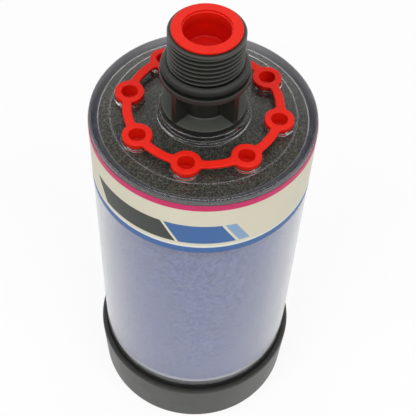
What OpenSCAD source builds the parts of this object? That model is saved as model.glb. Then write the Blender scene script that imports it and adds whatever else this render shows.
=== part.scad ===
// Desiccant breather: a clear housing of silica gel on a dark end cap, with a pipe thread at the top.
// Millimetres, +Z up along the axis, origin at the centre of the cap's foot.
// The front of the breather faces -Y.

/* [Clear housing] */
// Outside diameter of the housing
housing_d = 104; // [96:1:120]
// Thickness of the housing's wall
housing_wall = 4; // [2.5:0.5:5]
// Length of the housing from its foot to its top face
housing_len = 190.5; // [150:0.5:240]
// Thickness of the top plate
plate_t = 4; // [3:0.5:6]
// Radius of the top outer edge
housing_edge_r = 1.5; // [0.5:0.25:2.5]
// Radius at which a fine raised line runs round the top plate
line_r = 42.3; // [42.1:0.1:44]
// Width of the raised line
line_w = 0.6; // [0.4:0.1:1]
// Height of the raised line
line_h = 0.4; // [0.2:0.1:0.8]

/* [Centre boss] */
// Diameter of the boss's lower step
boss_foot_d = 43; // [42:0.5:46]
// Height of the boss's lower step
boss_foot_h = 1.6; // [1:0.1:2.5]
// Diameter of the boss's upper step
boss_d = 40.4; // [39:0.2:41.6]
// Height of the boss above the plate
boss_h = 4.5; // [3:0.5:7]

/* [Vents] */
// Number of vents in the top plate
vent_count = 8; // [6:1:8]
// Radius of the circle the vents lie on
vent_pitch_r = 34.4; // [33.5:0.1:34.6]
// Turn of the first vent from the front
vent_turn = -10; // [-22:1:22]
// Diameter of a vent hole
vent_hole_d = 10; // [9:0.25:10.5]
// Diameter of the raised seat round a vent
vent_seat_d = 14.5; // [14:0.25:15.2]
// Height of the raised seat
vent_seat_h = 1.2; // [0.6:0.1:2]

/* [Vent plugs] */
// Diameter of a plug's head
vent_head_d = 13.4; // [12.5:0.1:14]
// Thickness of a plug's head
vent_head_t = 2.6; // [2:0.1:4]
// Length of a plug's skirt below its head
vent_skirt_len = 4.9; // [3:0.1:5]
// Wall of a plug's skirt
vent_skirt_wall = 0.95; // [0.7:0.05:1.4]
// Thickness of a plug's closed end
vent_end_t = 0.8; // [0.6:0.1:1.5]
// Width of the strap that joins the plugs
strap_w = 4.2; // [3:0.1:6]
// Thickness of the strap
strap_t = 1.3; // [0.8:0.1:2]

/* [Threaded mount] */
// Crest diameter of the pipe thread
thread_d = 33.25; // [32:0.05:36]
// Length of the threaded stem above its neck
thread_len = 17.4; // [14:0.1:24]
// Height over which the thread runs out into the neck
thread_runout = 1; // [0.5:0.1:2]
// Chamfer at the end of the stem
stem_chamfer = 0.5; // [0.3:0.1:0.7]
// Diameter of the neck, which is the root of the thread
neck_d = 30.3; // [29:0.05:31]
// Height of the neck that the O-ring sits on
neck_h = 4.3; // [4.2:0.1:6]
// Diameter of the upper flange
flange_d = 40; // [39:0.5:44]
// Thickness of the upper flange
flange_t = 2.9; // [2:0.1:5]
// Height of the ribbed tube between the two flanges
rib_zone_h = 16.8; // [10:0.2:24]
// Diameter of the ribbed tube
rib_tube_d = 23.4; // [22:0.2:27]
// Diameter of the bore through the ribbed tube
mount_bore_d = 16.4; // [14:0.2:17.4]
// Turn of the ribs from midway between the sides
mount_rib_turn = 3.5; // [-20:0.5:20]
// Number of ribs round the tube
mount_rib_count = 4; // [3:1:8]
// Thickness of a rib
mount_rib_t = 3; // [2:0.25:4]
// Diameter across the ribs
mount_rib_d = 38.4; // [36:0.2:38.8]
// Diameter of the lower flange
seat_flange_d = 38.4; // [37:0.2:39]
// Thickness of the lower flange
seat_flange_t = 2.6; // [2:0.1:4]
// Blend at the tube's foot
tube_blend = 1; // [0.5:0.1:2]
// Edge break on the flanges
flange_break = 0.4; // [0.2:0.1:0.8]
// Diameter of the spigot that passes the top plate
spigot_d = 29; // [26:0.5:32]

/* [O-ring] */
// Section diameter of the O-ring
o_ring_section = 4.2; // [3:0.1:4.2]

/* [Stem plug] */
// Diameter of the bore that takes the plug
plug_bore_d = 23; // [22:0.1:25]
// Depth of that bore
plug_bore_depth = 18; // [17:0.5:22]
// Diameter of the plug's flange
plug_flange_d = 30.2; // [27:0.1:31]
// Thickness of the plug's flange
plug_flange_t = 1.2; // [0.8:0.1:2]
// Length of the plug's skirt
plug_skirt_len = 12.8; // [11:0.2:16]
// Length of the skirt's upper part, down to its shoulder
plug_shoulder = 5.4; // [4:0.2:7]
// Wall of the plug's skirt
plug_wall = 0.9; // [0.7:0.05:1.5]
// Radius lost by the upper part's taper
plug_taper = 0.35; // [0:0.05:0.5]
// Radius lost by the lower part's steeper taper
plug_lead_in = 1.2; // [0.4:0.1:2]
// Thickness of the plug's closed end
plug_end_t = 1.2; // [0.8:0.1:2]

/* [Standpipe] */
// Outside diameter of the standpipe
pipe_d = 21.3; // [18:0.1:22]
// Wall of the standpipe
pipe_wall = 2; // [1.5:0.1:3]
// Depth of the socket that holds the pipe in the mount
pipe_socket = 10; // [6:0.5:12]

/* [Packing] */
// Thickness of the foam under the top plate
upper_foam_t = 12; // [8:0.5:20]
// Thickness of the foam on the cap's ribs
lower_foam_t = 22.5; // [18:0.5:30]
// Thickness of a felt filter disc
filter_t = 2; // [1:0.25:5]

/* [Label] */
// Distance from the housing's top face down to the label
label_drop = 2.8; // [2.6:0.1:20]
// Height of the label
label_h = 34.4; // [20:0.2:60]
// Thickness of the label film
label_t = 0.2; // [0.1:0.05:0.4]
// Width of the seam left open at the back
label_seam = 3; // [1:0.5:8]

/* [Base cap] */
// Height of the cap
cap_h = 32; // [24:0.5:36]
// Wall of the cap at its lip
cap_wall = 2.9; // [2:0.1:5]
// Radius lost by the side's draft from lip to foot
cap_draft = 1.4; // [0:0.1:1.8]
// Radius of the lip's outer edge
cap_lip_r = 1.2; // [0.5:0.1:1.8]
// Radius of the foot's outer edge
cap_foot_r = 1.5; // [0.5:0.1:2.5]
// Thickness of the cap's floor
cap_floor_t = 3; // [2:0.25:5]
// Height of the ribs that hold up the foam
cap_rib_h = 12; // [8:0.5:15]
// Number of ribs
cap_rib_count = 6; // [4:1:10]
// Thickness of a rib
cap_rib_t = 2; // [1.5:0.25:3]
// Height of the rib steps that the standpipe stands on
pipe_step_h = 5; // [3:0.5:7]
// Radius of the open middle between the ribs
cap_middle_r = 6; // [4:0.5:7]

/* [Fits] */
// Gap filled by the bond between two fixed pieces
bond_gap = 0.1; // [0.05:0.05:0.2]
// Gap round the packing
packing_gap = 0.1; // [0.05:0.05:0.3]
// Gap between a push-in plug's skirt and its hole
plug_gap = 0.3; // [0.25:0.05:0.5]

/* [Hidden] */
$fn = 96;
// Overlap that carries a cut past a face
cut = 1;

housing_r = housing_d / 2;
housing_bore_r = housing_r - housing_wall;
socket_r = housing_r + bond_gap;
cap_r = socket_r + cap_wall;
packing_r = housing_bore_r - packing_gap;

// Heights from the foot up to the top plate
shelf_z = cap_floor_t + cap_rib_h;
pipe_foot_z = cap_floor_t + pipe_step_h;
lower_filter_z = shelf_z + lower_foam_t;
gel_z = lower_filter_z + filter_t;
plate_top_z = shelf_z + housing_len;
plate_under_z = plate_top_z - plate_t;
upper_foam_z = plate_under_z - upper_foam_t;
upper_filter_z = upper_foam_z - filter_t;

// Heights of the mount
mount_seat_z = plate_top_z + boss_h;
tube_z = mount_seat_z + seat_flange_t;
flange_z = tube_z + rib_zone_h;
neck_z = flange_z + flange_t;
thread_z = neck_z + neck_h;
stem_top_z = thread_z + thread_len;

// Heights of the vent plugs
vent_head_z = plate_top_z + vent_seat_h;
vent_top_z = vent_head_z + vent_head_t;

thread_r = thread_d / 2;
neck_r = neck_d / 2;

pipe_r = pipe_d / 2;
pipe_bore_r = pipe_r - pipe_wall;
pipe_socket_r = pipe_r + bond_gap;
pipe_top_z = upper_foam_z + pipe_socket;
mount_bore_r = mount_bore_d / 2;
spigot_r = spigot_d / 2;

plug_bore_r = plug_bore_d / 2;
plug_skirt_r = plug_bore_r - plug_gap;
vent_skirt_r = vent_hole_d / 2 - plug_gap;

// Half profile from the axis out to a side with draft, with round outer edges at foot and top.
// Each edge's arc touches the flat face and the leaning side.
module drafted_profile(foot_r, top_r, height, foot_edge, top_edge) {
    lean = atan((top_r - foot_r) / height);
    top_arc_z = height - top_edge;
    foot_x = foot_r + (foot_edge * sin(lean) - foot_edge) / cos(lean);
    top_x = foot_r + (top_arc_z * sin(lean) - top_edge) / cos(lean);
    polygon([
        [0, 0],
        [foot_x, 0],
        [foot_x + foot_edge * cos(lean), foot_edge - foot_edge * sin(lean)],
        [top_x + top_edge * cos(lean), top_arc_z - top_edge * sin(lean)],
        [top_x, height],
        [0, height]
    ]);
    translate([foot_x, foot_edge])
        circle(r = foot_edge);
    translate([top_x, top_arc_z])
        circle(r = top_edge);
}

// Flat ring of a given height
module ring(outer_r, inner_r, height) {
    linear_extrude(height)
        difference() {
            circle(r = outer_r);
            circle(r = inner_r);
        }
}

// Places its children at every vent, first vent turned from the front
module at_vents() {
    for (i = [0 : vent_count - 1])
        rotate([0, 0, vent_turn + i * 360 / vent_count])
            translate([0, -vent_pitch_r, 0])
                children();
}

// Moulded end cap: drafted cup with a socket for the housing, a shelf under its foot,
// and radial ribs stepped down in the middle to carry the standpipe.
module base_cap() {
    color([0.2, 0.2, 0.19]) {
        difference() {
            rotate_extrude()
                drafted_profile(cap_r - cap_draft, cap_r, cap_h, cap_foot_r, cap_lip_r);
            translate([0, 0, shelf_z])
                cylinder(r = socket_r, h = cap_h);
            translate([0, 0, cap_floor_t])
                cylinder(r = housing_bore_r, h = cap_h);
        }
        for (i = [0 : cap_rib_count - 1])
            rotate([0, 0, i * 360 / cap_rib_count])
                cap_rib();
    }
}

// One radial rib of the end cap, tall outside the standpipe and low under it
module cap_rib() {
    tall_x = pipe_r + bond_gap;
    translate([0, cap_rib_t / 2, cap_floor_t])
        rotate([90, 0, 0])
            linear_extrude(cap_rib_t)
                polygon([
                    [cap_middle_r, -cap_floor_t / 2],
                    [housing_bore_r + housing_wall / 2, -cap_floor_t / 2],
                    [housing_bore_r + housing_wall / 2, cap_rib_h],
                    [tall_x, cap_rib_h],
                    [tall_x, pipe_step_h],
                    [cap_middle_r, pipe_step_h]
                ]);
}

// Packing disc that fills the housing round a hole in its middle
module packing_disc(z, thickness, hole_r) {
    translate([0, 0, z])
        ring(packing_r, hole_r, thickness);
}

// Open-cell foam on the ribs of the cap
module lower_foam_pad() {
    color([0.22, 0.22, 0.2])
        packing_disc(shelf_z, lower_foam_t, pipe_r + packing_gap);
}

// Felt that keeps gel dust out of the lower foam
module lower_filter_disc() {
    color([0.85, 0.85, 0.82])
        packing_disc(lower_filter_z, filter_t, pipe_r + packing_gap);
}

// Bed of gel beads, packed between the two felts
module silica_gel_bed() {
    color([0.58, 0.6, 0.76])
        packing_disc(gel_z, upper_filter_z - gel_z, pipe_r + packing_gap);
}

// Felt between the gel and the upper foam
module upper_filter_disc() {
    color([0.85, 0.85, 0.82])
        packing_disc(upper_filter_z, filter_t, pipe_r + packing_gap);
}

// Open-cell foam under the top plate, round the mount's spigot
module upper_foam_pad() {
    color([0.3, 0.3, 0.28])
        packing_disc(upper_foam_z, upper_foam_t, spigot_r + packing_gap);
}

// Pipe that leads dry air from the cap up to the thread
module standpipe() {
    color([0.8, 0.8, 0.78])
        translate([0, 0, pipe_foot_z])
            ring(pipe_r, pipe_bore_r, pipe_top_z - pipe_foot_z);
}

// Clear cup: wall and top plate in one, a stepped boss for the mount and a raised seat at each vent
module clear_housing() {
    color([0.8, 0.84, 0.88, 0.35])
        difference() {
            union() {
                rotate_extrude()
                    translate([0, shelf_z])
                        housing_profile();
                translate([0, 0, plate_under_z]) {
                    cylinder(d = boss_foot_d, h = plate_t + boss_foot_h);
                    cylinder(d = boss_d, h = plate_t + boss_h);
                    ring(line_r + line_w / 2, line_r - line_w / 2, plate_t + line_h);
                    at_vents()
                        cylinder(d = vent_seat_d, h = plate_t + vent_seat_h);
                }
            }
            translate([0, 0, shelf_z - cut])
                cylinder(r = housing_bore_r, h = plate_under_z - shelf_z + cut);
            translate([0, 0, plate_under_z - cut])
                cylinder(r = spigot_r + bond_gap, h = mount_seat_z - plate_under_z + 2 * cut);
            translate([0, 0, plate_under_z - cut])
                at_vents()
                    cylinder(d = vent_hole_d, h = plate_t + vent_seat_h + 2 * cut);
        }
}

// Half profile of the housing's outside, with the round edge of its top
module housing_profile() {
    edge_x = housing_r - housing_edge_r;
    edge_z = housing_len - housing_edge_r;
    polygon([[0, 0], [housing_r, 0], [housing_r, edge_z], [edge_x, housing_len], [0, housing_len]]);
    translate([edge_x, edge_z])
        circle(r = housing_edge_r);
}

// Film label wrapped round the housing, with its seam at the back
module wrap_label() {
    label_r = housing_r + bond_gap / 2;
    color([0.87, 0.85, 0.78])
        translate([0, 0, plate_top_z - label_drop - label_h])
            linear_extrude(label_h)
                difference() {
                    circle(r = label_r + label_t);
                    circle(r = label_r);
                    translate([-label_seam / 2, 0])
                        square([label_seam, housing_d]);
                }
}

// Moulded mount: spigot, lower flange, ribbed tube, upper flange, neck and stem, bored through.
// The stem is drawn plain at the thread's crests.
module threaded_mount() {
    color([0.16, 0.16, 0.15])
        difference() {
            union() {
                rotate_extrude()
                    mount_profile();
                translate([0, 0, tube_z - seat_flange_t / 2])
                    linear_extrude(rib_zone_h + (seat_flange_t + flange_t) / 2)
                        mount_ribs();
            }
            rotate_extrude()
                mount_bore_profile();
        }
}

// Ribs across the tube, trimmed to the circle that they reach
module mount_ribs() {
    intersection() {
        circle(d = mount_rib_d);
        for (i = [0 : mount_rib_count - 1])
            rotate(mount_rib_turn + 180 / mount_rib_count + i * 360 / mount_rib_count)
                translate([0, -mount_rib_t / 2])
                    square([mount_rib_d, mount_rib_t]);
    }
}

// Half profile of the mount's outside from the spigot's end to the stem's end
module mount_profile() {
    seat_r = seat_flange_d / 2;
    tube_r = rib_tube_d / 2;
    flange_r = flange_d / 2;
    polygon([
        [0, upper_foam_z],
        [spigot_r, upper_foam_z],
        [spigot_r, mount_seat_z],
        [seat_r, mount_seat_z],
        [seat_r, tube_z - flange_break],
        [seat_r - flange_break, tube_z],
        [tube_r + tube_blend, tube_z],
        [tube_r, tube_z + tube_blend],
        [tube_r, flange_z],
        [flange_r - flange_break, flange_z],
        [flange_r, flange_z + flange_break],
        [flange_r, neck_z - flange_break],
        [flange_r - flange_break, neck_z],
        [neck_r, neck_z],
        [neck_r, thread_z],
        [thread_r, thread_z + thread_runout],
        [thread_r, stem_top_z - stem_chamfer],
        [thread_r - stem_chamfer, stem_top_z],
        [0, stem_top_z]
    ]);
}

// Half profile of what is bored out of the mount: plug bore, cone, tube bore, pipe socket
module mount_bore_profile() {
    bore_end_z = stem_top_z - plug_bore_depth;
    cone_end_z = bore_end_z - (plug_bore_r - mount_bore_r);
    polygon([
        [0, upper_foam_z - cut],
        [pipe_socket_r, upper_foam_z - cut],
        [pipe_socket_r, pipe_top_z],
        [mount_bore_r, pipe_top_z],
        [mount_bore_r, cone_end_z],
        [plug_bore_r, bore_end_z],
        [plug_bore_r, stem_top_z + cut],
        [0, stem_top_z + cut]
    ]);
}

// Rubber ring on the neck, lying on the upper flange
module mount_o_ring() {
    color([0.1, 0.1, 0.1])
        rotate_extrude()
            translate([neck_r + o_ring_section / 2, neck_z + o_ring_section / 2])
                circle(d = o_ring_section);
}

// Push-in plug: thin flange on the stem's end and a cup in its bore, tapered more below its shoulder
module stem_plug() {
    shoulder_r = plug_skirt_r - plug_taper;
    skirt_end_r = shoulder_r - plug_lead_in;
    color([0.93, 0.16, 0.1])
        translate([0, 0, stem_top_z])
            rotate_extrude()
                polygon([
                    [0, -plug_skirt_len],
                    [skirt_end_r, -plug_skirt_len],
                    [shoulder_r, -plug_shoulder],
                    [plug_skirt_r, 0],
                    [plug_flange_d / 2, 0],
                    [plug_flange_d / 2, plug_flange_t],
                    [plug_skirt_r - plug_wall, plug_flange_t],
                    [shoulder_r - plug_wall, -plug_shoulder],
                    [skirt_end_r - plug_wall, plug_end_t - plug_skirt_len],
                    [0, plug_end_t - plug_skirt_len]
                ]);
}

// Vent plugs in one ring: a head and a closed skirt at each vent, joined by a strap at the heads' tops
module vent_plug_ring() {
    cup_r = vent_skirt_r - vent_skirt_wall;
    color([0.95, 0.17, 0.1])
        difference() {
            union() {
                translate([0, 0, vent_top_z - strap_t])
                    ring(vent_pitch_r + strap_w / 2, vent_pitch_r - strap_w / 2, strap_t);
                at_vents() {
                    translate([0, 0, vent_head_z])
                        cylinder(d = vent_head_d, h = vent_head_t);
                    translate([0, 0, vent_head_z - vent_skirt_len])
                        cylinder(r = vent_skirt_r, h = vent_skirt_len + vent_head_t);
                }
            }
            at_vents()
                translate([0, 0, vent_head_z - vent_skirt_len + vent_end_t])
                    cylinder(r = cup_r, h = vent_skirt_len + vent_head_t);
        }
}

base_cap();
lower_foam_pad();
lower_filter_disc();
silica_gel_bed();
upper_filter_disc();
upper_foam_pad();
standpipe();
clear_housing();
wrap_label();
threaded_mount();
mount_o_ring();
stem_plug();
vent_plug_ring();
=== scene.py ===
import bmesh
import bpy
import numpy as np
from mathutils import Matrix, Vector


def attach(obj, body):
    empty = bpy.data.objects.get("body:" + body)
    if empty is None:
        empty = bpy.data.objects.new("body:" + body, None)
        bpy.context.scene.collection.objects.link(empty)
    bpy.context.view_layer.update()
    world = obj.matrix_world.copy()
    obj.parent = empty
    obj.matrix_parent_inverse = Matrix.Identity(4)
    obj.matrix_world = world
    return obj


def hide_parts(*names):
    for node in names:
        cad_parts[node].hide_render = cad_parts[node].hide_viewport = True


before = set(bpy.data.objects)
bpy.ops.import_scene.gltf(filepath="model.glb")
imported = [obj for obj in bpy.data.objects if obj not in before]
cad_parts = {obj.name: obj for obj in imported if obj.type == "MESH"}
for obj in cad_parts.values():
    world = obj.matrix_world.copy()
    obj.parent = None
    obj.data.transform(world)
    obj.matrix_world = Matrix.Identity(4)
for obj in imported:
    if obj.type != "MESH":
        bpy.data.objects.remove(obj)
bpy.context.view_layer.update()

# Base cap
# Moulded end cap of dark grey plastic, bonded over the open foot of the clear housing.
# A drafted cup with a shelf for the housing, and six ribs on its floor under the foam and the pipe.

MM = 0.001
CAP_LIP_R, CAP_FOOT_R, CAP_HEIGHT, CAP_FLOOR = 55.0, 53.6, 32.0, 3.0
SOCKET_R, SHELF_R, SHELF_Z = 52.1, 48.0, 15.0
RIB_COUNT, RIB_T, RIB_OUT_R, RIB_STEP_R, RIB_STEP_Z, RIB_MIDDLE_R = 6, 2.0, 50.0, 10.75, 8.0, 6.0


def rounded(corners, steps=5, closed=False):
    """Outline through corners (x, y, radius), each cut by the arc that touches both of its edges.

    The arc's centre lies on the bisector, at radius / sin(half the corner's angle) from the corner,
    and the arc turns from one touching point to the other in equal steps."""
    corners = np.asarray(corners, float)
    point, radius = corners[:, :2], corners[:, 2:]
    unit = lambda v: v / np.maximum(np.linalg.norm(v, axis=1, keepdims=True), 1e-9)
    before = unit(np.roll(point, 1, axis=0) - point)
    after = unit(np.roll(point, -1, axis=0) - point)
    half = np.arccos(np.clip((before * after).sum(1, keepdims=True), -1, 1)) / 2
    half = np.clip(half, 1e-4, np.pi / 2 - 1e-4)
    centre = point + unit(before + after) * radius / np.sin(half)
    first = point + before * radius / np.tan(half) - centre
    last = point + after * radius / np.tan(half) - centre
    turn = (np.pi - 2 * half)[:, None]
    share = np.linspace(0, 1, steps + 1)[None, :, None]
    arc = (np.sin((1 - share) * turn) * first[:, None] + np.sin(share * turn) * last[:, None]) / np.sin(turn)
    outline = (centre[:, None] + arc).reshape(-1, 2)
    gap = np.linalg.norm(outline - np.roll(outline, 1, axis=0), axis=1)
    gap[0] = gap[0] if closed else 1.0
    return outline[gap > 1e-5]


def revolve(outline, count=192, start=0.0):
    """Outline turned about the axis: (r, z) goes to (r sin a, -r cos a, z).

    The angle a runs from the front to the right."""
    angle = np.radians(start) + np.linspace(0, 2 * np.pi, count, endpoint=False)[:, None]
    r, z = outline[:, 0], outline[:, 1]
    return np.stack([r * np.sin(angle), -r * np.cos(angle), z + 0 * angle], axis=-1)


def turned(points, degrees):
    """Points turned about the axis, from the front to the right."""
    c, s = np.cos(np.radians(degrees)), np.sin(np.radians(degrees))
    return points @ np.array([[c, s, 0], [-s, c, 0], [0, 0, 1]])


def patch(points, closed_u=True, closed_v=True, keep=None):
    """A grid of points as vertices and quads.

    Each quad joins four neighbours, and a closed way wraps round. Keep marks the quads that stay."""
    index = np.arange(points.shape[0] * points.shape[1]).reshape(points.shape[:2])
    index = np.concatenate([index, index[:1]]) if closed_u else index
    index = np.concatenate([index, index[:, :1]], axis=1) if closed_v else index
    quads = np.stack([index[:-1, :-1], index[1:, :-1], index[1:, 1:], index[:-1, 1:]], axis=-1)
    return points.reshape(-1, 3), quads[keep] if keep is not None else quads.reshape(-1, 4)


def piece(name, patches, finish, body, node, fields=None, even=True):
    """One piece from patches in millimetres, in its CAD node's place.

    Doubles are merged, and faces are turned outwards and smooth. Fields are numbers for each vertex, kept as
    attributes. Even gives flat faces their own flat shading."""
    starts = np.cumsum([0] + [len(points) for points, quads in patches])
    mesh = bpy.data.meshes.new(name)
    mesh.from_pydata(
        np.concatenate([points for points, quads in patches]) * MM,
        [],
        np.concatenate([quads + start for (points, quads), start in zip(patches, starts)]),
    )
    for field, values in (fields or {}).items():
        attribute = mesh.attributes.new(field, "FLOAT", "POINT")
        attribute.data.foreach_set("value", values.ravel().astype(np.float32))
    shell = bmesh.new()
    shell.from_mesh(mesh)
    bmesh.ops.remove_doubles(shell, verts=shell.verts, dist=2e-6)
    bmesh.ops.recalc_face_normals(shell, faces=shell.faces)
    shell.to_mesh(mesh)
    shell.free()
    mesh.shade_smooth()
    mesh.materials.append(finish.material)
    made = bpy.data.objects.new(name, mesh)
    bpy.context.scene.collection.objects.link(made)
    if even:
        weighted = made.modifiers.new("flat_faces", "WEIGHTED_NORMAL")
        weighted.mode = "FACE_AREA"
    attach(made, body)
    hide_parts(node)
    return made


class Wire:
    """A node's output that Python can reckon with: each operator adds the Math node that works it out."""

    def __init__(self, finish, socket):
        self.finish, self.socket = finish, socket

    def reckon(self, operation, *values):
        """A Math node of an operation on values."""
        return self.finish.node("Math", {"operation": operation}, *values)

    def __add__(self, other):
        return self.reckon("ADD", self, other)

    def __sub__(self, other):
        return self.reckon("SUBTRACT", self, other)

    def __rsub__(self, other):
        return self.reckon("SUBTRACT", other, self)

    def __mul__(self, other):
        return self.reckon("MULTIPLY", self, other)

    def __gt__(self, other):
        return self.reckon("GREATER_THAN", self, other)

    def __lt__(self, other):
        return self.reckon("LESS_THAN", self, other)

    __radd__, __rmul__ = __add__, __mul__


class Finish:
    """A material in the making: one surface shader, and one method that adds any other node."""

    def __init__(self, name, kind="materials", shader="Principled BSDF", **sockets):
        self.material = getattr(bpy.data, kind).new(name)
        self.material.use_nodes = True
        self.tree = self.material.node_tree
        self.shader = self.tree.nodes[shader]
        self.coat(**sockets)

    def feed(self, socket, value):
        """Links a wire to a socket, or sets the socket's own value."""
        if isinstance(value, Wire):
            self.tree.links.new(value.socket, socket)
        elif socket.type == "RGBA":
            socket.default_value = (*value, 1.0)
        else:
            socket.default_value = value

    def coat(self, **sockets):
        """Feeds the surface shader's sockets, named with _ for a space."""
        for name, value in sockets.items():
            self.feed(self.shader.inputs[name.replace("_", " ")], value)

    def node(self, kind, settings, *values, out=None, **sockets):
        """Adds a node and gives one of its outputs.

        Its settings are set first, and then its sockets, in order or by name."""
        made = self.tree.nodes.new("ShaderNode" + kind)
        for name, value in settings.items():
            setattr(made, name, value)
        for socket, value in zip(made.inputs, values):
            self.feed(socket, value)
        for name, value in sockets.items():
            open_sockets = [s for s in made.inputs if s.name == name.replace("_", " ") and s.enabled]
            self.feed(open_sockets[0], value)
        outputs = [s for s in made.outputs if s.enabled and out in (None, s.name)]
        return Wire(self, outputs[0])

    def place(self):
        """Object coordinates, in metres."""
        return self.node("TexCoord", {}, out="Object")

    def height(self):
        """Height over the ground, in millimetres."""
        return self.node("SeparateXYZ", {}, self.place(), out="Z") * (1 / MM)

    def from_axis(self):
        """Distance from the axis, in millimetres."""
        flat = self.node("VectorMath", {"operation": "MULTIPLY"}, self.place(), (1.0, 1.0, 0.0))
        return self.node("VectorMath", {"operation": "LENGTH"}, flat, out="Value") * (1 / MM)

    def blend(self, share, first, second):
        """Colour between two colours."""
        return self.node("Mix", {"data_type": "RGBA"}, Factor=share, A=first, B=second)

    def grain(self, size, detail=2.0, roughness=0.5):
        """Cloudy noise from 0 to 1, with spots of about a size in millimetres."""
        return self.node(
            "TexNoise", {}, Vector=self.place(), Scale=1 / (size * MM), Detail=detail, Roughness=roughness
        )

    def cells(self, size):
        """Distance from the middle of the nearest cell, in cells of about a size in millimetres."""
        return self.node("TexVoronoi", {}, Vector=self.place(), Scale=1 / (size * MM), out="Distance")

    def ramp(self, value, low, high, to_low=0.0, to_high=1.0):
        """Value carried from one range to another, held at the ends."""
        return self.node("MapRange", {"interpolation_type": "SMOOTHSTEP"}, value, low, high, to_low, to_high)

    def bump(self, height, depth, strength):
        """Surface relief of a depth in millimetres."""
        return self.node("Bump", {}, Strength=strength, Distance=depth * MM, Height=height)


def chip(red, green, blue):
    """Colour chip of 0 to 255 as the linear light that a shader takes."""
    value = np.array([red, green, blue]) / 255
    return tuple(np.where(value > 0.04045, ((value + 0.055) / 1.055) ** 2.4, value / 12.92).tolist())


cap_plastic = Finish("cap_plastic", Specular_IOR_Level=0.5)
cap_grain = cap_plastic.grain(0.45, detail=3.0)
cap_cloud = cap_plastic.grain(9.0, detail=3.0)
cap_plastic.coat(
    Base_Color=cap_plastic.blend(cap_cloud, chip(37, 38, 35), chip(46, 47, 43)),
    Roughness=0.32 + 0.16 * cap_cloud,
    Normal=cap_plastic.bump(cap_grain, 0.05, strength=0.35),
)

cap_outline = rounded([
    (0, 0, 0), (CAP_FOOT_R, 0, 1.5), (CAP_LIP_R, CAP_HEIGHT, 1.2), (SOCKET_R, CAP_HEIGHT, 0.4),
    (SOCKET_R, SHELF_Z, 0.2), (SHELF_R, SHELF_Z, 0.4), (SHELF_R, CAP_FLOOR, 1.0), (0, CAP_FLOOR, 0),
])
rib_outline = rounded([
    (RIB_MIDDLE_R, CAP_FLOOR / 2, 0), (RIB_OUT_R, CAP_FLOOR / 2, 0), (RIB_OUT_R, SHELF_Z, 0),
    (RIB_STEP_R, SHELF_Z, 0.4), (RIB_STEP_R, RIB_STEP_Z, 0.2), (RIB_MIDDLE_R, RIB_STEP_Z, 0.4),
], closed=True)
# Each rib is its outline on both sides, with either side closed to a point inside it.
rib_middle = np.broadcast_to([RIB_STEP_R + 1.5, CAP_FLOOR], rib_outline.shape)
rib_loops = np.stack([rib_middle, rib_outline, rib_outline, rib_middle])
rib_sides = np.array([-0.5, -0.5, 0.5, 0.5])[:, None] * RIB_T + 0 * rib_loops[..., 0]
rib = np.stack([rib_loops[..., 0], rib_sides, rib_loops[..., 1]], axis=-1)
piece(
    "end_cap",
    [patch(revolve(cap_outline, 240), closed_v=False)]
    + [patch(turned(rib, i * 360 / RIB_COUNT), closed_u=False) for i in range(RIB_COUNT)],
    cap_plastic, "breather", "base_cap",
)

# Lower foam pad
# Disc of dark open-cell foam that lies on the ribs of the cap and fills the foot of the housing.
# Cut from sheet foam, so its faces are rough with open pores. Its edge shows as a dark band above the cap.

PACK_R, PACK_HOLE_R = 47.9, 10.75
LOWER_FOAM_TOP = 37.5
FOAM_WAVES, FOAM_WAVE, FOAM_SINK, FOAM_SWING, FOAM_AROUND = 28, 3.2, 0.28, 0.2, 300


def ripple(points, wave, seed):
    """Smooth noise about -1 to 1.

    It is a sum of plane waves near one wavelength, with random headings and phases."""
    draw = np.random.default_rng(seed)
    heading = draw.normal(size=(FOAM_WAVES, 3))
    length = np.linalg.norm(heading, axis=1, keepdims=True)
    heading *= 2 * np.pi / wave * draw.uniform(0.6, 1.5, (FOAM_WAVES, 1)) / length
    phase = draw.uniform(0, 2 * np.pi, FOAM_WAVES)
    return np.cos(points @ heading.T + phase).sum(-1) / np.sqrt(FOAM_WAVES)


def foam_disc(low, high, hole_r, seed, step):
    """Ring section turned about the axis, its surface drawn in by smooth noise along the section's normal."""
    corners = rounded([
        (hole_r, low, 0.8), (PACK_R, low, 0.8), (PACK_R, high, 0.8), (hole_r, high, 0.8),
    ], closed=True)
    edge = np.linalg.norm(np.roll(corners, -1, axis=0) - corners, axis=1)
    along = np.concatenate([[0], np.cumsum(edge)])
    at = np.linspace(0, along[-1], int(along[-1] / step), endpoint=False)
    ring = np.concatenate([corners, corners[:1]])
    outline = np.stack([np.interp(at, along, ring[:, 0]), np.interp(at, along, ring[:, 1])], axis=-1)
    run = np.roll(outline, -1, axis=0) - np.roll(outline, 1, axis=0)
    inward = np.stack([-run[:, 1], run[:, 0]], axis=-1) / np.linalg.norm(run, axis=1, keepdims=True)
    points = revolve(outline, FOAM_AROUND)
    depth = FOAM_SINK + FOAM_SWING * np.clip(ripple(points, FOAM_WAVE, seed), -1, 1)
    return points + revolve(inward, FOAM_AROUND) * depth[..., None]


def foam_finish(name, pore_shade, strand):
    """Open-cell foam: paler strands between pores of two sizes, the pores painted dark as shade."""
    foam = Finish(name, Roughness=0.95, Specular_IOR_Level=0.2)
    pores = foam.ramp(foam.cells(1.1), 0.25, 0.8)
    fine = foam.ramp(foam.grain(0.7, detail=4.0, roughness=0.8), 0.4, 0.66)
    strands = 0.3 * pores + 0.7 * fine
    foam.coat(
        # The dark colour in the pores is painted shade.
        Base_Color=foam.blend(foam.ramp(strands, 0.15, 1.0), pore_shade, strand),
        Normal=foam.bump(strands, 0.4, strength=0.7),
    )
    return foam


lower_foam_finish = foam_finish("lower_foam", chip(12, 12, 11), chip(54, 54, 50))
lower_foam = piece(
    "lower_foam", [patch(foam_disc(SHELF_Z + 0.02, LOWER_FOAM_TOP, PACK_HOLE_R, 11, step=1.1))],
    lower_foam_finish, "breather", "lower_foam_pad", even=False,
)

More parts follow.
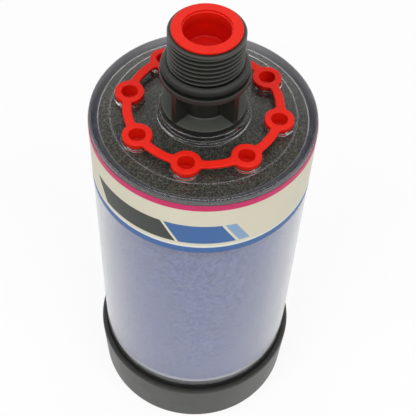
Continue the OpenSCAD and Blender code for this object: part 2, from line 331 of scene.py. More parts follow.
# Felt discs
# Two thin discs of white needled felt, one under the gel and one over it, that keep its dust out of the foam.
# Punched from sheet and laid in loose, so they keep the plain shape of their solids.

felt_finish = Finish("needled_felt", Roughness=0.95, Specular_IOR_Level=0.2)
fibres = felt_finish.grain(0.5, detail=5.0, roughness=0.7)
felt_finish.coat(
    Base_Color=felt_finish.blend(fibres, chip(150, 152, 165), chip(205, 206, 214)),
    Normal=felt_finish.bump(fibres, 0.3, strength=0.7),
)
for node in ("lower_filter_disc", "upper_filter_disc"):
    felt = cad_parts[node]
    felt.data.materials.clear()
    felt.data.materials.append(felt_finish.material)

# Standpipe
# Length of pale grey extruded pipe that stands on the cap's ribs and leads dry air up to the thread.
# It is buried in the gel, so its own solid is enough. Faint die lines run along it.

pipe_finish = Finish("extruded_pipe", Specular_IOR_Level=0.5)
pipe_stretch = pipe_finish.node("Mapping", {}, Vector=pipe_finish.place(), Scale=(1.0, 1.0, 0.02))
die_lines = pipe_finish.node("TexNoise", {}, Vector=pipe_stretch, Scale=900.0, Detail=2.0)
pipe_finish.coat(
    Base_Color=pipe_finish.blend(die_lines, chip(196, 196, 190), chip(216, 216, 210)),
    Roughness=0.35 + 0.2 * die_lines,
    Normal=pipe_finish.bump(die_lines, 0.05, strength=0.4),
)
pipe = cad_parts["standpipe"]
pipe.data.materials.clear()
pipe.data.materials.append(pipe_finish.material)

# Silica gel bed
# Loose beads of pale blue-violet silica gel, about two millimetres across, poured between the felts.
# Only the beads against the clear wall show, so the bed is one surface with a low dome for each of those.

GEL_LOW, GEL_HIGH = 39.55, 187.45
GEL_R, BEAD, BEAD_RELIEF = 47.85, 2.2, 0.4
BEAD_ROW, BEAD_DEEPEST = 0.866, 0.55
GEL_AROUND, GEL_UP = 440, 212

bead_columns = round(2 * np.pi * GEL_R / BEAD)
bead_rows = round((GEL_HIGH - GEL_LOW) / (BEAD * BEAD_ROW))


def bead_wall(along, height):
    """Depth under the wall, tone and gap of the beads at places on the unrolled wall.

    The beads lie on a hexagonal net with random shifts. At each place the highest of the nine nearest domes
    counts, a dome being the root of radius squared less distance squared, sunk by the bead's own depth."""
    draw = np.random.default_rng(5)
    shift = draw.uniform(-0.3, 0.3, (bead_rows, bead_columns, 2))
    size = draw.uniform(0.5, 0.64, (bead_rows, bead_columns))
    sunk = draw.uniform(0.0, 0.35, (bead_rows, bead_columns)) ** 1.5
    tone = draw.uniform(0, 1, (bead_rows, bead_columns))
    across, up = along * bead_columns, height * bead_rows
    top = np.full(np.broadcast(across, up).shape, -1.0)
    found = np.zeros_like(top)
    for row_step in (-1, 0, 1):
        row = np.clip(np.floor(up).astype(int) + row_step, 0, bead_rows - 1)
        stagger = 0.5 * (row % 2)
        for column_step in (-1, 0, 1):
            column = np.floor(across - stagger).astype(int) + column_step
            bead = row, column % bead_columns
            away = np.hypot(
                across - (column + 0.5 + stagger + shift[..., 0][bead]),
                BEAD_ROW * (up - (row + 0.5 + shift[..., 1][bead])),
            )
            dome = np.sqrt(np.maximum(size[bead] ** 2 - away**2, 0)) - size[bead] - sunk[bead]
            dome = np.where(away < size[bead], dome, -1.0)
            found = np.where(dome > top, tone[bead], found)
            top = np.maximum(top, dome)
    depth = np.clip(-top, 0, BEAD_DEEPEST)
    return depth * BEAD * BEAD_RELIEF, found, depth / BEAD_DEEPEST


gel_turn = np.linspace(0, 1, GEL_AROUND, endpoint=False)[:, None]
gel_up = np.linspace(0, 1, GEL_UP)[None, :]
bead_depth, bead_tone, bead_gap = bead_wall(gel_turn, gel_up)
gel_wall_r = GEL_R - bead_depth
gel_core_r = np.full((GEL_AROUND, 2), PACK_HOLE_R + 0.02)
gel_r = np.concatenate([gel_wall_r, gel_core_r], axis=1)
gel_z = np.concatenate([GEL_LOW + (GEL_HIGH - GEL_LOW) * gel_up, [[GEL_HIGH, GEL_LOW]]], axis=1) + 0 * gel_r
gel_angle = 2 * np.pi * gel_turn
gel_points = np.stack([gel_r * np.sin(gel_angle), -gel_r * np.cos(gel_angle), gel_z], axis=-1)
core_field = np.zeros((GEL_AROUND, 2))

gel_finish = Finish("silica_gel", Specular_IOR_Level=0.5)
tone = gel_finish.node("Attribute", {"attribute_name": "bead_tone"}, out="Fac")
gap = gel_finish.node("Attribute", {"attribute_name": "bead_gap"}, out="Fac")
gel_mottle = gel_finish.grain(16.0, detail=3.0)
bead_colour = gel_finish.blend(tone, chip(56, 70, 130), chip(104, 114, 170))
mottled = gel_finish.ramp(gel_mottle, 0.35, 0.7, 0.0, 0.6)
bead_colour = gel_finish.blend(mottled, bead_colour, chip(92, 99, 142))
# The gaps between the beads are painted darker, as shade.
gap_shade = gel_finish.ramp(gap, 0.25, 1.0, 0.0, 0.8)
gel_finish.coat(
    Base_Color=gel_finish.blend(gap_shade, bead_colour, chip(44, 54, 110)),
    Roughness=0.4 + 0.25 * tone,
)
piece(
    "gel_beads", [patch(gel_points)], gel_finish, "breather", "silica_gel_bed", even=False,
    fields={
        "bead_tone": np.concatenate([bead_tone, core_field], axis=1),
        "bead_gap": np.concatenate([bead_gap, core_field], axis=1),
    },
)

# Upper foam pad
# Thicker, greyer disc of the same foam, pressed up under the top plate round the mount's spigot.
# It shows through the clear plate, so its pores are worked in more finely than on the lower one.

UPPER_FOAM_LOW, UPPER_FOAM_TOP, SPIGOT_HOLE_R = 189.5, 201.42, 14.6

upper_foam_finish = foam_finish("upper_foam", chip(28, 27, 23), chip(100, 99, 84))
upper_foam = piece(
    "upper_foam", [patch(foam_disc(UPPER_FOAM_LOW + 0.02, UPPER_FOAM_TOP, SPIGOT_HOLE_R, 23, step=0.7))],
    upper_foam_finish, "breather", "upper_foam_pad", even=False,
)

# Clear housing
# Cup of clear moulded plastic, open at its foot: a thick wall and a top plate in one, with a raised seat
# round each of the eight vents, a stepped boss that takes the mount, and a fine raised line near the rim.

HOUSING_R, BORE_R, WALL_FOOT_Z, PLATE_LOW, PLATE_TOP = 52.0, 48.0, 15.02, 201.5, 205.5
LINE_IN, LINE_OUT, LINE_TOP = 42.0, 42.6, 205.9
BOSS_FOOT_R, BOSS_FOOT_TOP, BOSS_R, BOSS_TOP, BOSS_HOLE_R = 21.5, 207.1, 20.2, 210.0, 14.6
VENTS, VENT_TURN, VENT_R = 8, -10.0, 34.4
SEAT_R, SEAT_TOP, VENT_HOLE_R = 7.25, 206.7, 5.0
FIELD_IN, FIELD_OUT = 26.7, 41.95
WALL_BLUR, RAISED_BLUR = 0.14, 0.1
WALL_DUST, PLATE_DUST, LINE_DUST, LABEL_BACK = 0.055, 0.01, 0.08, 0.7
MILK_LOW, MILK_HIGH, LABEL_LOW, LABEL_TOP = 36.0, 44.0, 168.3, 202.7
STEPS_PER_VENT, STEPS_ACROSS = 36, 14

half_sector = 180.0 / VENTS
sector_start = VENT_TURN - half_sector
rim_outline = rounded([
    (FIELD_OUT, PLATE_TOP, 0), (LINE_IN, PLATE_TOP, 0), (LINE_IN, LINE_TOP, 0.15), (LINE_OUT, LINE_TOP, 0.15),
    (LINE_OUT, PLATE_TOP, 0.15), (HOUSING_R, PLATE_TOP, 1.5), (HOUSING_R, WALL_FOOT_Z, 0.3),
    (BORE_R, WALL_FOOT_Z, 0.3), (BORE_R, PLATE_LOW, 0.6), (FIELD_OUT, PLATE_LOW, 0),
], steps=8)
boss_outline = rounded([
    (FIELD_IN, PLATE_TOP, 0), (BOSS_FOOT_R, PLATE_TOP, 0.3), (BOSS_FOOT_R, BOSS_FOOT_TOP, 0.3),
    (BOSS_R, BOSS_FOOT_TOP, 0.3), (BOSS_R, BOSS_TOP, 0.3), (BOSS_HOLE_R, BOSS_TOP, 0.2),
    (BOSS_HOLE_R, PLATE_LOW, 0.2), (FIELD_IN, PLATE_LOW, 0),
])

# One eighth of the plate is a loop round its edge, drawn in ring by ring to the vent's seat, over the seat,
# down the hole and out again underneath.
sweep = np.radians(np.linspace(-half_sector, half_sector, STEPS_PER_VENT + 1))
reach = np.linspace(FIELD_IN, FIELD_OUT, STEPS_ACROSS + 1)
edge_r = np.concatenate([
    np.full(STEPS_PER_VENT, FIELD_OUT), reach[:0:-1], np.full(STEPS_PER_VENT, FIELD_IN), reach[:-1],
])
edge_a = np.concatenate([
    sweep[:-1], np.full(STEPS_ACROSS, sweep[-1]), sweep[:0:-1], np.full(STEPS_ACROSS, sweep[0]),
])
edge = np.stack([edge_r * np.sin(edge_a), -edge_r * np.cos(edge_a)], axis=-1)
vent_centre = np.array([0.0, -VENT_R])
to_edge = edge - vent_centre
heading = to_edge / np.linalg.norm(to_edge, axis=1, keepdims=True)
seat_outline = rounded([
    (SEAT_R + 0.2, PLATE_TOP, 0), (SEAT_R, PLATE_TOP, 0.15), (SEAT_R, SEAT_TOP, 0.22),
    (VENT_HOLE_R, SEAT_TOP, 0.3), (VENT_HOLE_R, PLATE_LOW, 0.3), (SEAT_R + 0.2, PLATE_LOW, 0),
])
seat_rings = vent_centre + heading[:, None] * seat_outline[None, :, :1]
spread = np.array([0.0, 0.5])[None, :, None]
upper_rings = edge[:, None] * (1 - spread) + seat_rings[:, :1] * spread
sector_xy = np.concatenate([upper_rings, seat_rings, upper_rings[:, ::-1]], axis=1)
sector_z = np.concatenate([[PLATE_TOP] * 2, seat_outline[:, 1], [PLATE_LOW] * 2])
sector = np.concatenate([sector_xy, sector_z[None, :, None] + 0 * sector_xy[..., :1]], axis=-1)

# The wall is a little milky with fine gel dust, and the plate and the foot hardly at all. What stands up from
# the plate is duller than the plate. Where the label is stuck on, its pale back shows from inside the wall.
clear_plastic = Finish("clear_plastic", Transmission_Weight=1.0, IOR=1.49, Base_Color=(0.97, 0.98, 0.985))
flow = clear_plastic.grain(14.0, detail=2.0)
wall_z, from_axis = clear_plastic.height(), clear_plastic.from_axis()
in_wall = (from_axis > BORE_R - 0.4) * (wall_z < PLATE_TOP - 0.6)
raised = wall_z > PLATE_TOP + 0.05
milk = clear_plastic.ramp(wall_z, MILK_LOW, MILK_HIGH, PLATE_DUST, WALL_DUST)
on_line = (from_axis > LINE_IN - 0.1) * (from_axis < LINE_OUT + 0.1) * (wall_z > PLATE_TOP + 0.1)
specks = clear_plastic.ramp(clear_plastic.grain(0.8), 0.35, 0.65)
dusty = PLATE_DUST + in_wall * (milk - PLATE_DUST) + on_line * LINE_DUST
dusty = dusty * (0.3 + 0.5 * clear_plastic.grain(22.0) + 0.9 * specks)
on_label = (from_axis > HOUSING_R - 0.2) * (wall_z > LABEL_LOW) * (wall_z < LABEL_TOP)
dusty = dusty + on_label * LABEL_BACK
dust = clear_plastic.node(
    "BsdfPrincipled", {}, Base_Color=chip(200, 202, 208), Roughness=0.9, Specular_IOR_Level=0.0
)
clear_plastic.coat(
    Roughness=0.02 * flow + WALL_BLUR * in_wall + RAISED_BLUR * raised,
    Normal=clear_plastic.bump(flow, 0.12, strength=0.1),
)
clear = Wire(clear_plastic, clear_plastic.shader.outputs[0])
clear_look = clear_plastic.node("MixShader", {}, dusty, clear, dust)
clear_plastic.feed(clear_plastic.tree.nodes["Material Output"].inputs["Surface"], clear_look)
housing = piece(
    "clear_cup",
    [
        patch(revolve(rim_outline, VENTS * STEPS_PER_VENT, sector_start), closed_v=False),
        patch(revolve(boss_outline, VENTS * STEPS_PER_VENT, sector_start), closed_v=False),
    ]
    + [patch(turned(sector, VENT_TURN + i * 360 / VENTS), closed_v=False) for i in range(VENTS)],
    clear_plastic, "breather", "clear_housing",
)
housing.visible_shadow = False
housing.visible_diffuse = False

# Wrap label
# Printed film stuck round the top of the housing, with a narrow open seam at the back.
# The print is plain fields: a magenta band above, a blue band below, and at the front slanting bars of grey
# and blue.

LABEL_IN, LABEL_OUT, LABEL_SEAM = 52.06, 52.24, 3.0
BAND_TOP, BAND_LOW, WHITE_LINE, BARS_LOW, BARS_TOP, SLANT = 199.2, 172.3, 1.2, 175.4, 188.2, 0.55
CREAM, MAGENTA, BLUE, GREY = chip(222, 217, 195), chip(202, 36, 100), chip(62, 103, 160), chip(60, 63, 59)
CREAM_SHADE, PALE_BLUE, WHITE = chip(214, 209, 186), chip(136, 166, 200), chip(228, 228, 224)
BARS = ((-48.0, -9.5, GREY), (-8.0, 18.0, BLUE), (19.5, 24.5, PALE_BLUE))

label_section = rounded([
    (LABEL_IN, LABEL_LOW, 0), (LABEL_OUT, LABEL_LOW, 0.05),
    (LABEL_OUT, LABEL_TOP, 0.05), (LABEL_IN, LABEL_TOP, 0),
], steps=2, closed=True)
seam_half = np.arcsin(LABEL_SEAM / 2 / LABEL_OUT)
label_angle = np.linspace(-np.pi + seam_half, np.pi - seam_half, 289)[:, None]
label_r, label_z = label_section[:, 0], label_section[:, 1]
label_grid = np.stack(
    [label_r * np.sin(label_angle), -label_r * np.cos(label_angle), label_z + 0 * label_angle], axis=-1
)
label_ends = label_grid[[0, -1]].mean(axis=1, keepdims=True) + 0 * label_grid[[0, -1]]
label_grid = np.concatenate([label_ends[:1], label_grid, label_ends[1:]])

film = Finish("label_film", Roughness=0.42, Specular_IOR_Level=0.22)
film_place = film.place()
film_x = film.node("SeparateXYZ", {}, film_place, out="X")
film_y = film.node("SeparateXYZ", {}, film_place, out="Y")
film_z = film.height()
around = film_x.reckon("ARCTAN2", film_x, 0 - film_y) * LABEL_OUT
slanted = around + SLANT * (film_z - BARS_LOW)
in_bars = (film_z > BARS_LOW) * (film_z < BARS_TOP)
print_colour = film.blend(film.grain(30.0), CREAM, CREAM_SHADE)
for left, right, colour in BARS:
    print_colour = film.blend(in_bars * (slanted > left) * (slanted < right), print_colour, colour)
print_colour = film.blend(film_z < BAND_LOW + WHITE_LINE, print_colour, WHITE)
print_colour = film.blend(film_z < BAND_LOW, print_colour, BLUE)
print_colour = film.blend(film_z > BAND_TOP, print_colour, MAGENTA)
film.coat(Base_Color=print_colour)
piece("film_label", [patch(label_grid, closed_u=False)], film, "breather", "wrap_label")

# Threaded mount
# Black moulded nylon: a spigot through the top plate, a flange on the boss, four ribs round a tube, a wider
# flange, and a stem with a right-hand one inch pipe thread. A bore runs through it for the pipe and the plug.

SPIGOT_R, SPIGOT_LOW, SEAT_FLANGE_R, TUBE_LOW = 14.5, 189.5, 19.2, 212.6
TUBE_R, RIB_TIP_R, MOUNT_RIB_T, TUBE_TOP, FLANGE_R, FLANGE_TOP = 11.7, 19.2, 3.0, 229.4, 20.0, 232.3
NECK_R, THREAD_LOW, THREAD_R, STEM_TOP = 15.15, 236.6, 16.62, 254.0
PITCH, THREAD_DEPTH, THREAD_START, FLANK, ROOT = 2.309, 1.479, 0.41, 1.55, 0.2
LAND, LAND_EASE, FOOT_EASE = 1.7, 0.7, 0.6
PLUG_BORE_R, PLUG_BORE_LOW, MOUNT_BORE_R, PIPE_SOCKET_R, PIPE_TOP = 11.5, 236.0, 8.2, 10.75, 199.5
RIB_TURN = 3.5

# The tube with its ribs, as one outline seen along the axis. The angle about the axis grows all along it, on
# the flat flanks of the ribs too, so the same angles serve every ring of the mount.
rib_half = MOUNT_RIB_T / 2
rib_foot = np.sqrt(TUBE_R**2 - rib_half**2)
rib_tip = np.sqrt(RIB_TIP_R**2 - rib_half**2)
tip_y = np.array([-0.5, 0.0, 0.5]) * rib_half
tip_row = np.stack([np.sqrt(RIB_TIP_R**2 - tip_y**2), tip_y, 0 * tip_y], axis=-1)
between = np.radians(np.linspace(12, 78, 23))
tube_row = np.stack([TUBE_R * np.cos(between), TUBE_R * np.sin(between), 0 * between], axis=-1)
quarter = np.concatenate([
    [(rib_foot, -rib_half, 0.5), (rib_tip, -rib_half, 0.35)], tip_row,
    [(rib_tip, rib_half, 0.35), (rib_foot, rib_half, 0.5)], tube_row,
])
quarter_turns = [turned(quarter * (1, 1, 0), RIB_TURN + 45 + 90 * i) + quarter * (0, 0, 1) for i in range(4)]
ribbed = rounded(np.concatenate(quarter_turns), closed=True)
ribbed_angle = np.arctan2(ribbed[:, 0], -ribbed[:, 1])[:, None]
ribbed_r = np.hypot(ribbed[:, 0], ribbed[:, 1])[:, None]

below_thread = rounded([
    (PIPE_SOCKET_R, SPIGOT_LOW, 0.3), (SPIGOT_R, SPIGOT_LOW, 0.4), (SPIGOT_R, BOSS_TOP + 0.03, 0.1),
    (SEAT_FLANGE_R, BOSS_TOP + 0.03, 0.25), (SEAT_FLANGE_R, TUBE_LOW, 0.45), (TUBE_R, TUBE_LOW, 0.7),
    (TUBE_R, TUBE_TOP, 0.6), (FLANGE_R, TUBE_TOP, 0.45), (FLANGE_R, FLANGE_TOP, 0.45),
    (NECK_R, FLANGE_TOP, 0.4), (NECK_R, THREAD_LOW, 0),
])
thread_z = np.arange(THREAD_LOW + 0.1, STEM_TOP - 0.62, PITCH / 20)
inside = rounded([
    (THREAD_R, STEM_TOP - 0.6, 0), (THREAD_R - 0.5, STEM_TOP, 0.15), (PLUG_BORE_R, STEM_TOP, 0.3),
    (PLUG_BORE_R, PLUG_BORE_LOW, 0.3), (MOUNT_BORE_R, PLUG_BORE_LOW - PLUG_BORE_R + MOUNT_BORE_R, 0.5),
    (MOUNT_BORE_R, PIPE_TOP, 0.1), (PIPE_SOCKET_R, PIPE_TOP, 0.1), (PIPE_SOCKET_R, SPIGOT_LOW + 0.5, 0),
])


def thread_r(angle, z):
    """Radius of the thread: crest less depth times a groove that climbs one pitch each turn.

    The groove is a clipped V with eased corners. It fades out under the plain land at the end of the stem,
    and the ridges sink into the neck at the foot."""
    phase = (z / PITCH - angle / (2 * np.pi) + THREAD_START) % 1.0
    ridge = np.clip((1 - np.abs(2 * phase - 1)) * FLANK - ROOT, 0, 1)
    ridge = 0.55 * ridge + 0.45 * ridge**2 * (3 - 2 * ridge)
    land = np.clip((z - (STEM_TOP - LAND)) / LAND_EASE, 0, 1)
    foot = np.clip((z - THREAD_LOW) / FOOT_EASE, 0, 1)
    ridge = ridge + (1 - ridge) * land**2 * (3 - 2 * land)
    return THREAD_R - THREAD_DEPTH * (1 - ridge * foot**2 * (3 - 2 * foot))


in_rib_zone = (below_thread[:, 1] > TUBE_LOW - 0.5) & (below_thread[:, 1] < TUBE_TOP + 0.5)
below_r = np.where(in_rib_zone, np.maximum(below_thread[:, 0], ribbed_r), below_thread[:, 0])
mount_r = np.concatenate([below_r, thread_r(ribbed_angle, thread_z), inside[:, 0] + 0 * ribbed_angle], axis=1)
mount_z = np.concatenate([below_thread[:, 1], thread_z, inside[:, 1]]) + 0 * ribbed_angle
mount_points = np.stack([mount_r * np.sin(ribbed_angle), -mount_r * np.cos(ribbed_angle), mount_z], axis=-1)

# The top of the lower flange is paler than the rest. The crests of the thread are paler too, a painted
# highlight.
nylon = Finish("mount_nylon", Specular_IOR_Level=0.5)
nylon_grain = nylon.grain(0.35, detail=3.0)
nylon_cloud = nylon.grain(6.0, detail=3.0)
nylon_z = nylon.height()
on_seat = nylon.ramp(nylon_z, TUBE_LOW - 0.2, TUBE_LOW - 0.05) * (nylon_z < TUBE_LOW + 0.3)
# Painted highlight along the thread's crests.
crest_highlight = nylon.ramp(nylon.from_axis(), THREAD_R - 0.9, THREAD_R - 0.1) * (nylon_z > THREAD_LOW)
nylon_colour = nylon.blend(nylon_cloud, chip(23, 25, 21), chip(33, 35, 30))
nylon_colour = nylon.blend(crest_highlight, nylon_colour, chip(48, 50, 44))
nylon.coat(
    Base_Color=nylon.blend(on_seat * (0.8 + 0.2 * nylon_cloud), nylon_colour, chip(76, 78, 72)),
    Roughness=0.3 + 0.18 * nylon_cloud + 0.2 * on_seat,
    Normal=nylon.bump(nylon_grain, 0.04, strength=0.35),
)
piece("ribbed_mount", [patch(mount_points)], nylon, "breather", "threaded_mount")

# O-ring
# Black rubber ring of round section on the neck, lying on the flange, that seals the thread in its socket.
# Moulded in two halves, so a faint flash line runs round its outside. Its top is painted paler, as a
# highlight.

O_RING_SECTION, O_RING_R, O_RING_Z, FLASH, FLASH_DEGREES = 2.1, 17.27, 234.42, 0.05, 6.0

ring_turn = np.linspace(0, 2 * np.pi, 48, endpoint=False)
from_outside = np.degrees((ring_turn + np.pi) % (2 * np.pi) - np.pi)
ring_section = O_RING_SECTION + FLASH * np.exp(-((from_outside / FLASH_DEGREES) ** 2))
ring_outline = np.stack([
    O_RING_R + ring_section * np.cos(ring_turn), O_RING_Z + ring_section * np.sin(ring_turn),
], axis=-1)
rubber = Finish("seal_rubber", Specular_IOR_Level=0.15)
rubber_cloud = rubber.grain(4.0, detail=3.0)
# Painted highlight on the ring's top.
top_highlight = rubber.ramp(rubber.height(), O_RING_Z + 1.0, O_RING_Z + O_RING_SECTION)
rubber_colour = rubber.blend(rubber_cloud, chip(20, 21, 19), chip(28, 29, 27))
rubber.coat(
    Base_Color=rubber.blend(top_highlight, rubber_colour, chip(66, 67, 63)),
    Roughness=0.28 + 0.14 * rubber_cloud,
    Normal=rubber.bump(rubber.grain(0.4), 0.02, strength=0.3),
)
piece(
    "o_ring", [patch(revolve(ring_outline, 240))],
    rubber, "breather", "mount_o_ring", even=False,
)

# Stem plug
# Thin push-in cup of soft red plastic that closes the bore until the breather is fitted.
# Moulded in one: a flat flange on the stem's end with a small ledge inside, and a skirt that tapers to its
# closed end. Down in the cup the red is painted darker, as shade.

PLUG_FLANGE_R, PLUG_TOP, PLUG_SKIRT_R, PLUG_LOW = 15.1, 255.2, 11.2, 241.2
PLUG_SHOULDER_R, PLUG_SHOULDER_Z, PLUG_END_R = 10.85, 248.6, 9.65
PLUG_WALL, PLUG_END_T, PLUG_LEDGE, PLUG_LEDGE_Z, CUP_SHADE_LOW, CUP_SHADE_HIGH = 0.9, 1.2, 0.5, 254.25, 249.5, 253.5

plug_cup_r = PLUG_SKIRT_R - PLUG_WALL
plug_outline = rounded([
    (0, PLUG_LOW, 0), (PLUG_END_R, PLUG_LOW, 0.6), (PLUG_SHOULDER_R, PLUG_SHOULDER_Z, 1.0),
    (PLUG_SKIRT_R, STEM_TOP + 0.02, 0.1), (PLUG_FLANGE_R, STEM_TOP + 0.02, 0.2),
    (PLUG_FLANGE_R, PLUG_TOP, 0.45),
    (plug_cup_r + PLUG_LEDGE, PLUG_TOP, 0.2), (plug_cup_r + PLUG_LEDGE, PLUG_LEDGE_Z, 0.12),
    (plug_cup_r, PLUG_LEDGE_Z - 0.1, 0.22), (PLUG_SHOULDER_R - PLUG_WALL, PLUG_SHOULDER_Z, 0.6),
    (PLUG_END_R - PLUG_WALL, PLUG_LOW + PLUG_END_T, 0.7), (0, PLUG_LOW + PLUG_END_T, 0),
])
red_plastic = Finish("red_plastic", Specular_IOR_Level=0.22)
red_cloud = red_plastic.grain(5.0, detail=3.0)
red_z = red_plastic.height()
# Painted shade: the red darkens down in the cup, below the flange.
cup_shade = red_plastic.ramp(red_z, CUP_SHADE_LOW, CUP_SHADE_HIGH, 1.0, 0.0) * (red_z > FLANGE_TOP)
red_colour = red_plastic.blend(red_cloud, chip(212, 24, 10), chip(222, 35, 17))
red_plastic.coat(
    Base_Color=red_plastic.blend(cup_shade, red_colour, chip(190, 15, 6)),
    Roughness=0.3 + 0.16 * red_cloud,
    Normal=red_plastic.bump(red_plastic.grain(0.5, detail=3.0), 0.04, strength=0.3),
)
piece(
    "red_stem_plug", [patch(revolve(plug_outline), closed_v=False)],
    red_plastic, "plug", "stem_plug",
)

# Vent plug ring
# Eight shipping plugs of the same soft red plastic, moulded as one ring with thin straps between their heads.
# Each plug is a hollow skirt in its vent with a closed end, and a thick head on the vent's seat.

HEAD_R, HEAD_LOW, HEAD_TOP = 6.7, 206.72, 209.3
VENT_SKIRT_R, VENT_CUP_R, VENT_SKIRT_LOW, VENT_END_T = 4.7, 3.75, 201.8, 0.8
STRAP_HALF, STRAP_LOW, STRAP_FILLET, EDGE_R, UNDER_R = 2.1, 208.0, 1.6, 0.4, 0.2


def arc(centre, radius, first, last, count):
    """Arc about a centre from one place to another, the short way, in equal steps without its last place."""
    start, stop = first - centre, last - centre
    begin = np.arctan2(start[1], start[0])
    swing = (np.arctan2(stop[1], stop[0]) - begin + np.pi) % (2 * np.pi) - np.pi
    angle = begin + swing * np.arange(count) / count
    return centre + radius * np.stack([np.cos(angle), np.sin(angle)], axis=-1)


def strap_fillet(strap_r, side):
    """Places where a fillet between a head and a strap's edge touches the head and the strap, and its centre.

    Its centre lies a fillet's radius outside two circles: the head's, and the strap edge's about the axis."""
    from_axis = strap_r + side * STRAP_FILLET
    from_head = HEAD_R + STRAP_FILLET
    along = (from_axis**2 + VENT_R**2 - from_head**2) / (2 * VENT_R)
    centre = np.array([np.sqrt(from_axis**2 - along**2), -along])
    on_head = vent_centre + (centre - vent_centre) * HEAD_R / from_head
    return on_head, centre * strap_r / from_axis, centre


# Outline of one eighth of the ring: its right half from the outer side round to the inner one, then mirrored.
strap_out, strap_in = VENT_R + STRAP_HALF, VENT_R - STRAP_HALF
cut = np.radians(half_sector)
cut_heading = np.array([np.sin(cut), -np.cos(cut)])
axis_place = np.zeros(2)
head_out, neck_out, out_centre = strap_fillet(strap_out, 1)
head_in, neck_in, in_centre = strap_fillet(strap_in, -1)
right_half = np.concatenate([
    arc(vent_centre, HEAD_R, vent_centre + (0, -HEAD_R), head_out, 8),
    arc(out_centre, STRAP_FILLET, head_out, neck_out, 6),
    arc(axis_place, strap_out, neck_out, strap_out * cut_heading, 8),
    np.linspace(strap_out, strap_in, 5)[:, None] * cut_heading,
    arc(axis_place, strap_in, neck_in, strap_in * cut_heading, 8)[::-1],
    arc(in_centre, STRAP_FILLET, head_in, neck_in, 6)[::-1],
    arc(vent_centre, HEAD_R, vent_centre + (0, HEAD_R), head_in, 8)[::-1],
])
on_cut_half = np.isclose(np.abs(np.arctan2(right_half[:, 0], -right_half[:, 1])), cut, atol=1e-6)
left_half = right_half[-2:0:-1] * (-1, 1)
eighth = np.concatenate([right_half, left_half])
on_cut = np.concatenate([on_cut_half, on_cut_half[-2:0:-1]])
run = np.roll(eighth, -1, axis=0) - np.roll(eighth, 1, axis=0)
inward = np.stack([-run[:, 1], run[:, 0]], axis=-1) / np.linalg.norm(run, axis=1, keepdims=True)
cut_r = np.linalg.norm(eighth, axis=1, keepdims=True)
inward = np.where(on_cut[:, None], -eighth / cut_r * (cut_r - VENT_R) / STRAP_HALF, inward)
plug_heading = (eighth - vent_centre) / np.linalg.norm(eighth - vent_centre, axis=1, keepdims=True)

# Rings of one eighth, from the middle of the cup's floor up, over the head, down the edge, and in under the
# strap and the head to the skirt's closed end.
cup_outline = rounded([
    (0, VENT_SKIRT_LOW + VENT_END_T, 0), (VENT_CUP_R, VENT_SKIRT_LOW + VENT_END_T, 0.4),
    (VENT_CUP_R, HEAD_TOP, 0.35), (HEAD_R - 1.4, HEAD_TOP, 0),
])
skirt_outline = rounded([
    (HEAD_R, STRAP_LOW, 0), (HEAD_R, HEAD_LOW, 0.3), (VENT_SKIRT_R, HEAD_LOW, 0.2),
    (VENT_SKIRT_R, VENT_SKIRT_LOW, 0.5), (0, VENT_SKIRT_LOW, 0),
])
ease = np.linspace(0, np.pi / 2, 6)
edge_in = np.concatenate([EDGE_R * (1 - np.sin(ease)), [0.0, UNDER_R]])
edge_z = np.concatenate([HEAD_TOP - EDGE_R * (1 - np.cos(ease)), [STRAP_LOW + UNDER_R, STRAP_LOW]])
on_strap = np.clip(np.linalg.norm(eighth - vent_centre, axis=1) - HEAD_R, 0, 1)[:, None]
edge_in = np.where(edge_z < HEAD_TOP - EDGE_R - 1e-6, edge_in * on_strap, edge_in)
edge_rings = eighth[:, None] + inward[:, None] * edge_in[..., None]
plug_xy = np.concatenate([
    vent_centre + plug_heading[:, None] * cup_outline[None, :, :1],
    edge_rings,
    vent_centre + plug_heading[:, None] * skirt_outline[None, :, :1],
], axis=1)
plug_z = np.concatenate([cup_outline[:, 1], edge_z, skirt_outline[:, 1]])
plug_eighth = np.concatenate([plug_xy, plug_z[None, :, None] + 0 * plug_xy[..., :1]], axis=-1)
row = np.arange(len(plug_z) - 1)
edge_row = (row >= len(cup_outline)) & (row < len(cup_outline) + len(edge_z) - 1)
open_end = (on_cut & np.roll(on_cut, -1))[:, None] & edge_row
piece(
    "red_vent_ring",
    [
        patch(turned(plug_eighth, VENT_TURN + i * 360 / VENTS), closed_v=False, keep=~open_end)
        for i in range(VENTS)
    ],
    red_plastic, "vent_plugs", "vent_plug_ring",
)

# Studio
# White floor under a soft dome, a large soft lamp overhead, and two more above the front, left and right.
# Floor and walls look white to the camera and in the clear plastic, and the ceiling dim, so the plate stays
# clear. For the same cause no lamp shows through the plastic, and only the one overhead shows in a gloss.

FLOOR_HALF, FLOOR_GLOW, DOME_LOW, DOME_TOP, WALLS, CEILING = 3.0, 0.88, 0.15, 0.4, 1.5, 0.1
WALL_TOP, CEILING_LOW = 0.62, 0.78
LAMPS = (
    ("lamp_top", (0.0, 0.15, 1.6), 7.0, True),
    ("lamp_left", (-0.8, -0.8, 1.3), 10.5, False),
    ("lamp_right", (0.8, -0.8, 1.3), 10.5, False),
)
LAMP_SIZE, LAMP_AIM = 0.9, (0.0, 0.0, 0.15)


def seen(finish):
    """One for a ray that comes from the camera, a gloss or clear plastic, and nothing for one that lights."""
    kinds = ("Camera", "Glossy", "Transmission")
    camera_ray, gloss, through = [finish.node("LightPath", {}, out=f"Is {kind} Ray") for kind in kinds]
    return gloss.reckon("MAXIMUM", camera_ray, gloss.reckon("MAXIMUM", gloss, through))


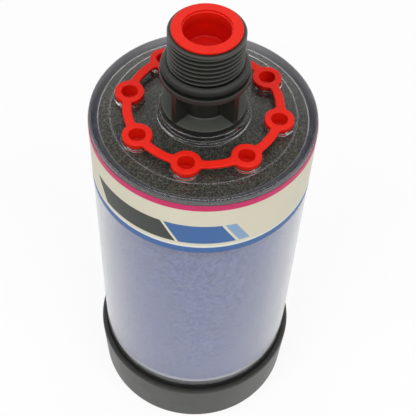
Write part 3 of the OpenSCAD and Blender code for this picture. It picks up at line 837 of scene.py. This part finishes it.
floor_mesh = bpy.data.meshes.new("floor")
floor_corner = np.array([[-1, -1, 0], [1, -1, 0], [1, 1, 0], [-1, 1, 0]]) * FLOOR_HALF
floor_mesh.from_pydata(floor_corner, [], [(0, 1, 2, 3)])
floor_finish = Finish("floor", Base_Color=(0.9, 0.9, 0.9), Roughness=0.9, Specular_IOR_Level=0.1)
glow = floor_finish.node("Emission", {}, Color=(1.0, 1.0, 1.0), Strength=1.0)
lit = Wire(floor_finish, floor_finish.shader.outputs[0])
floor_look = floor_finish.node("MixShader", {}, seen(floor_finish) * FLOOR_GLOW, lit, glow)
floor_finish.feed(floor_finish.tree.nodes["Material Output"].inputs["Surface"], floor_look)
floor_mesh.materials.append(floor_finish.material)
floor = bpy.data.objects.new("floor", floor_mesh)
bpy.context.scene.collection.objects.link(floor)

surround = Finish("surround", "worlds", "Background", Color=(1.0, 1.0, 1.0))
heading_up = surround.node("SeparateXYZ", {}, surround.node("TexCoord", {}, out="Generated"), out="Z")
dome = surround.ramp(heading_up, 0.0, 1.0, DOME_LOW, DOME_TOP)
room = surround.ramp(heading_up, WALL_TOP, CEILING_LOW, WALLS, CEILING)
surround.coat(Strength=dome + seen(surround) * (room - dome))
bpy.context.scene.world = surround.material

for name, place, power, in_gloss in LAMPS:
    lamp = bpy.data.lights.new(name, "AREA")
    lamp.size, lamp.energy = LAMP_SIZE, power
    lamp_stand = bpy.data.objects.new(name, lamp)
    lamp_stand.location = place
    lamp_stand.rotation_euler = (Vector(LAMP_AIM) - Vector(place)).to_track_quat("-Z", "Y").to_euler()
    lamp_stand.visible_transmission, lamp_stand.visible_glossy = False, in_gloss
    bpy.context.scene.collection.objects.link(lamp_stand)

# Camera
# It looks down on the breather from the front, near and a little turned about its own line of sight.
# The line of sight passes beside the aim, so that the breather stands in the picture where it should.

IMAGE_PX, FOCAL_PX, SENSOR_MM = 416, 940.41, 36.0
AIM_Z, DISTANCE, ELEVATION, ROLL = 100.0, 508.19, 52.99, -3.173
AIM_PX = (-8.09, -36.49)

tilt, roll = np.radians([ELEVATION, ROLL])
right, up = np.array([1.0, 0.0, 0.0]), np.array([0.0, np.sin(tilt), np.cos(tilt)])
back = np.cross(right, up)
per_px = DISTANCE / FOCAL_PX
eye = np.array([0, 0, AIM_Z]) - AIM_PX[0] * per_px * right - AIM_PX[1] * per_px * up + DISTANCE * back
frame_right = np.cos(roll) * right - np.sin(roll) * up
frame_up = np.sin(roll) * right + np.cos(roll) * up
lens = bpy.data.cameras.new("camera")
lens.sensor_width, lens.lens = SENSOR_MM, FOCAL_PX * SENSOR_MM / IMAGE_PX
lens.clip_start, lens.clip_end = 0.01, 20.0
camera = bpy.data.objects.new("camera", lens)
camera.rotation_euler = Matrix(np.stack([frame_right, frame_up, back], axis=1).tolist()).to_euler()
camera.location = eye * MM
bpy.context.scene.collection.objects.link(camera)
bpy.context.scene.camera = camera
bpy.context.scene.view_settings.view_transform = "Standard"
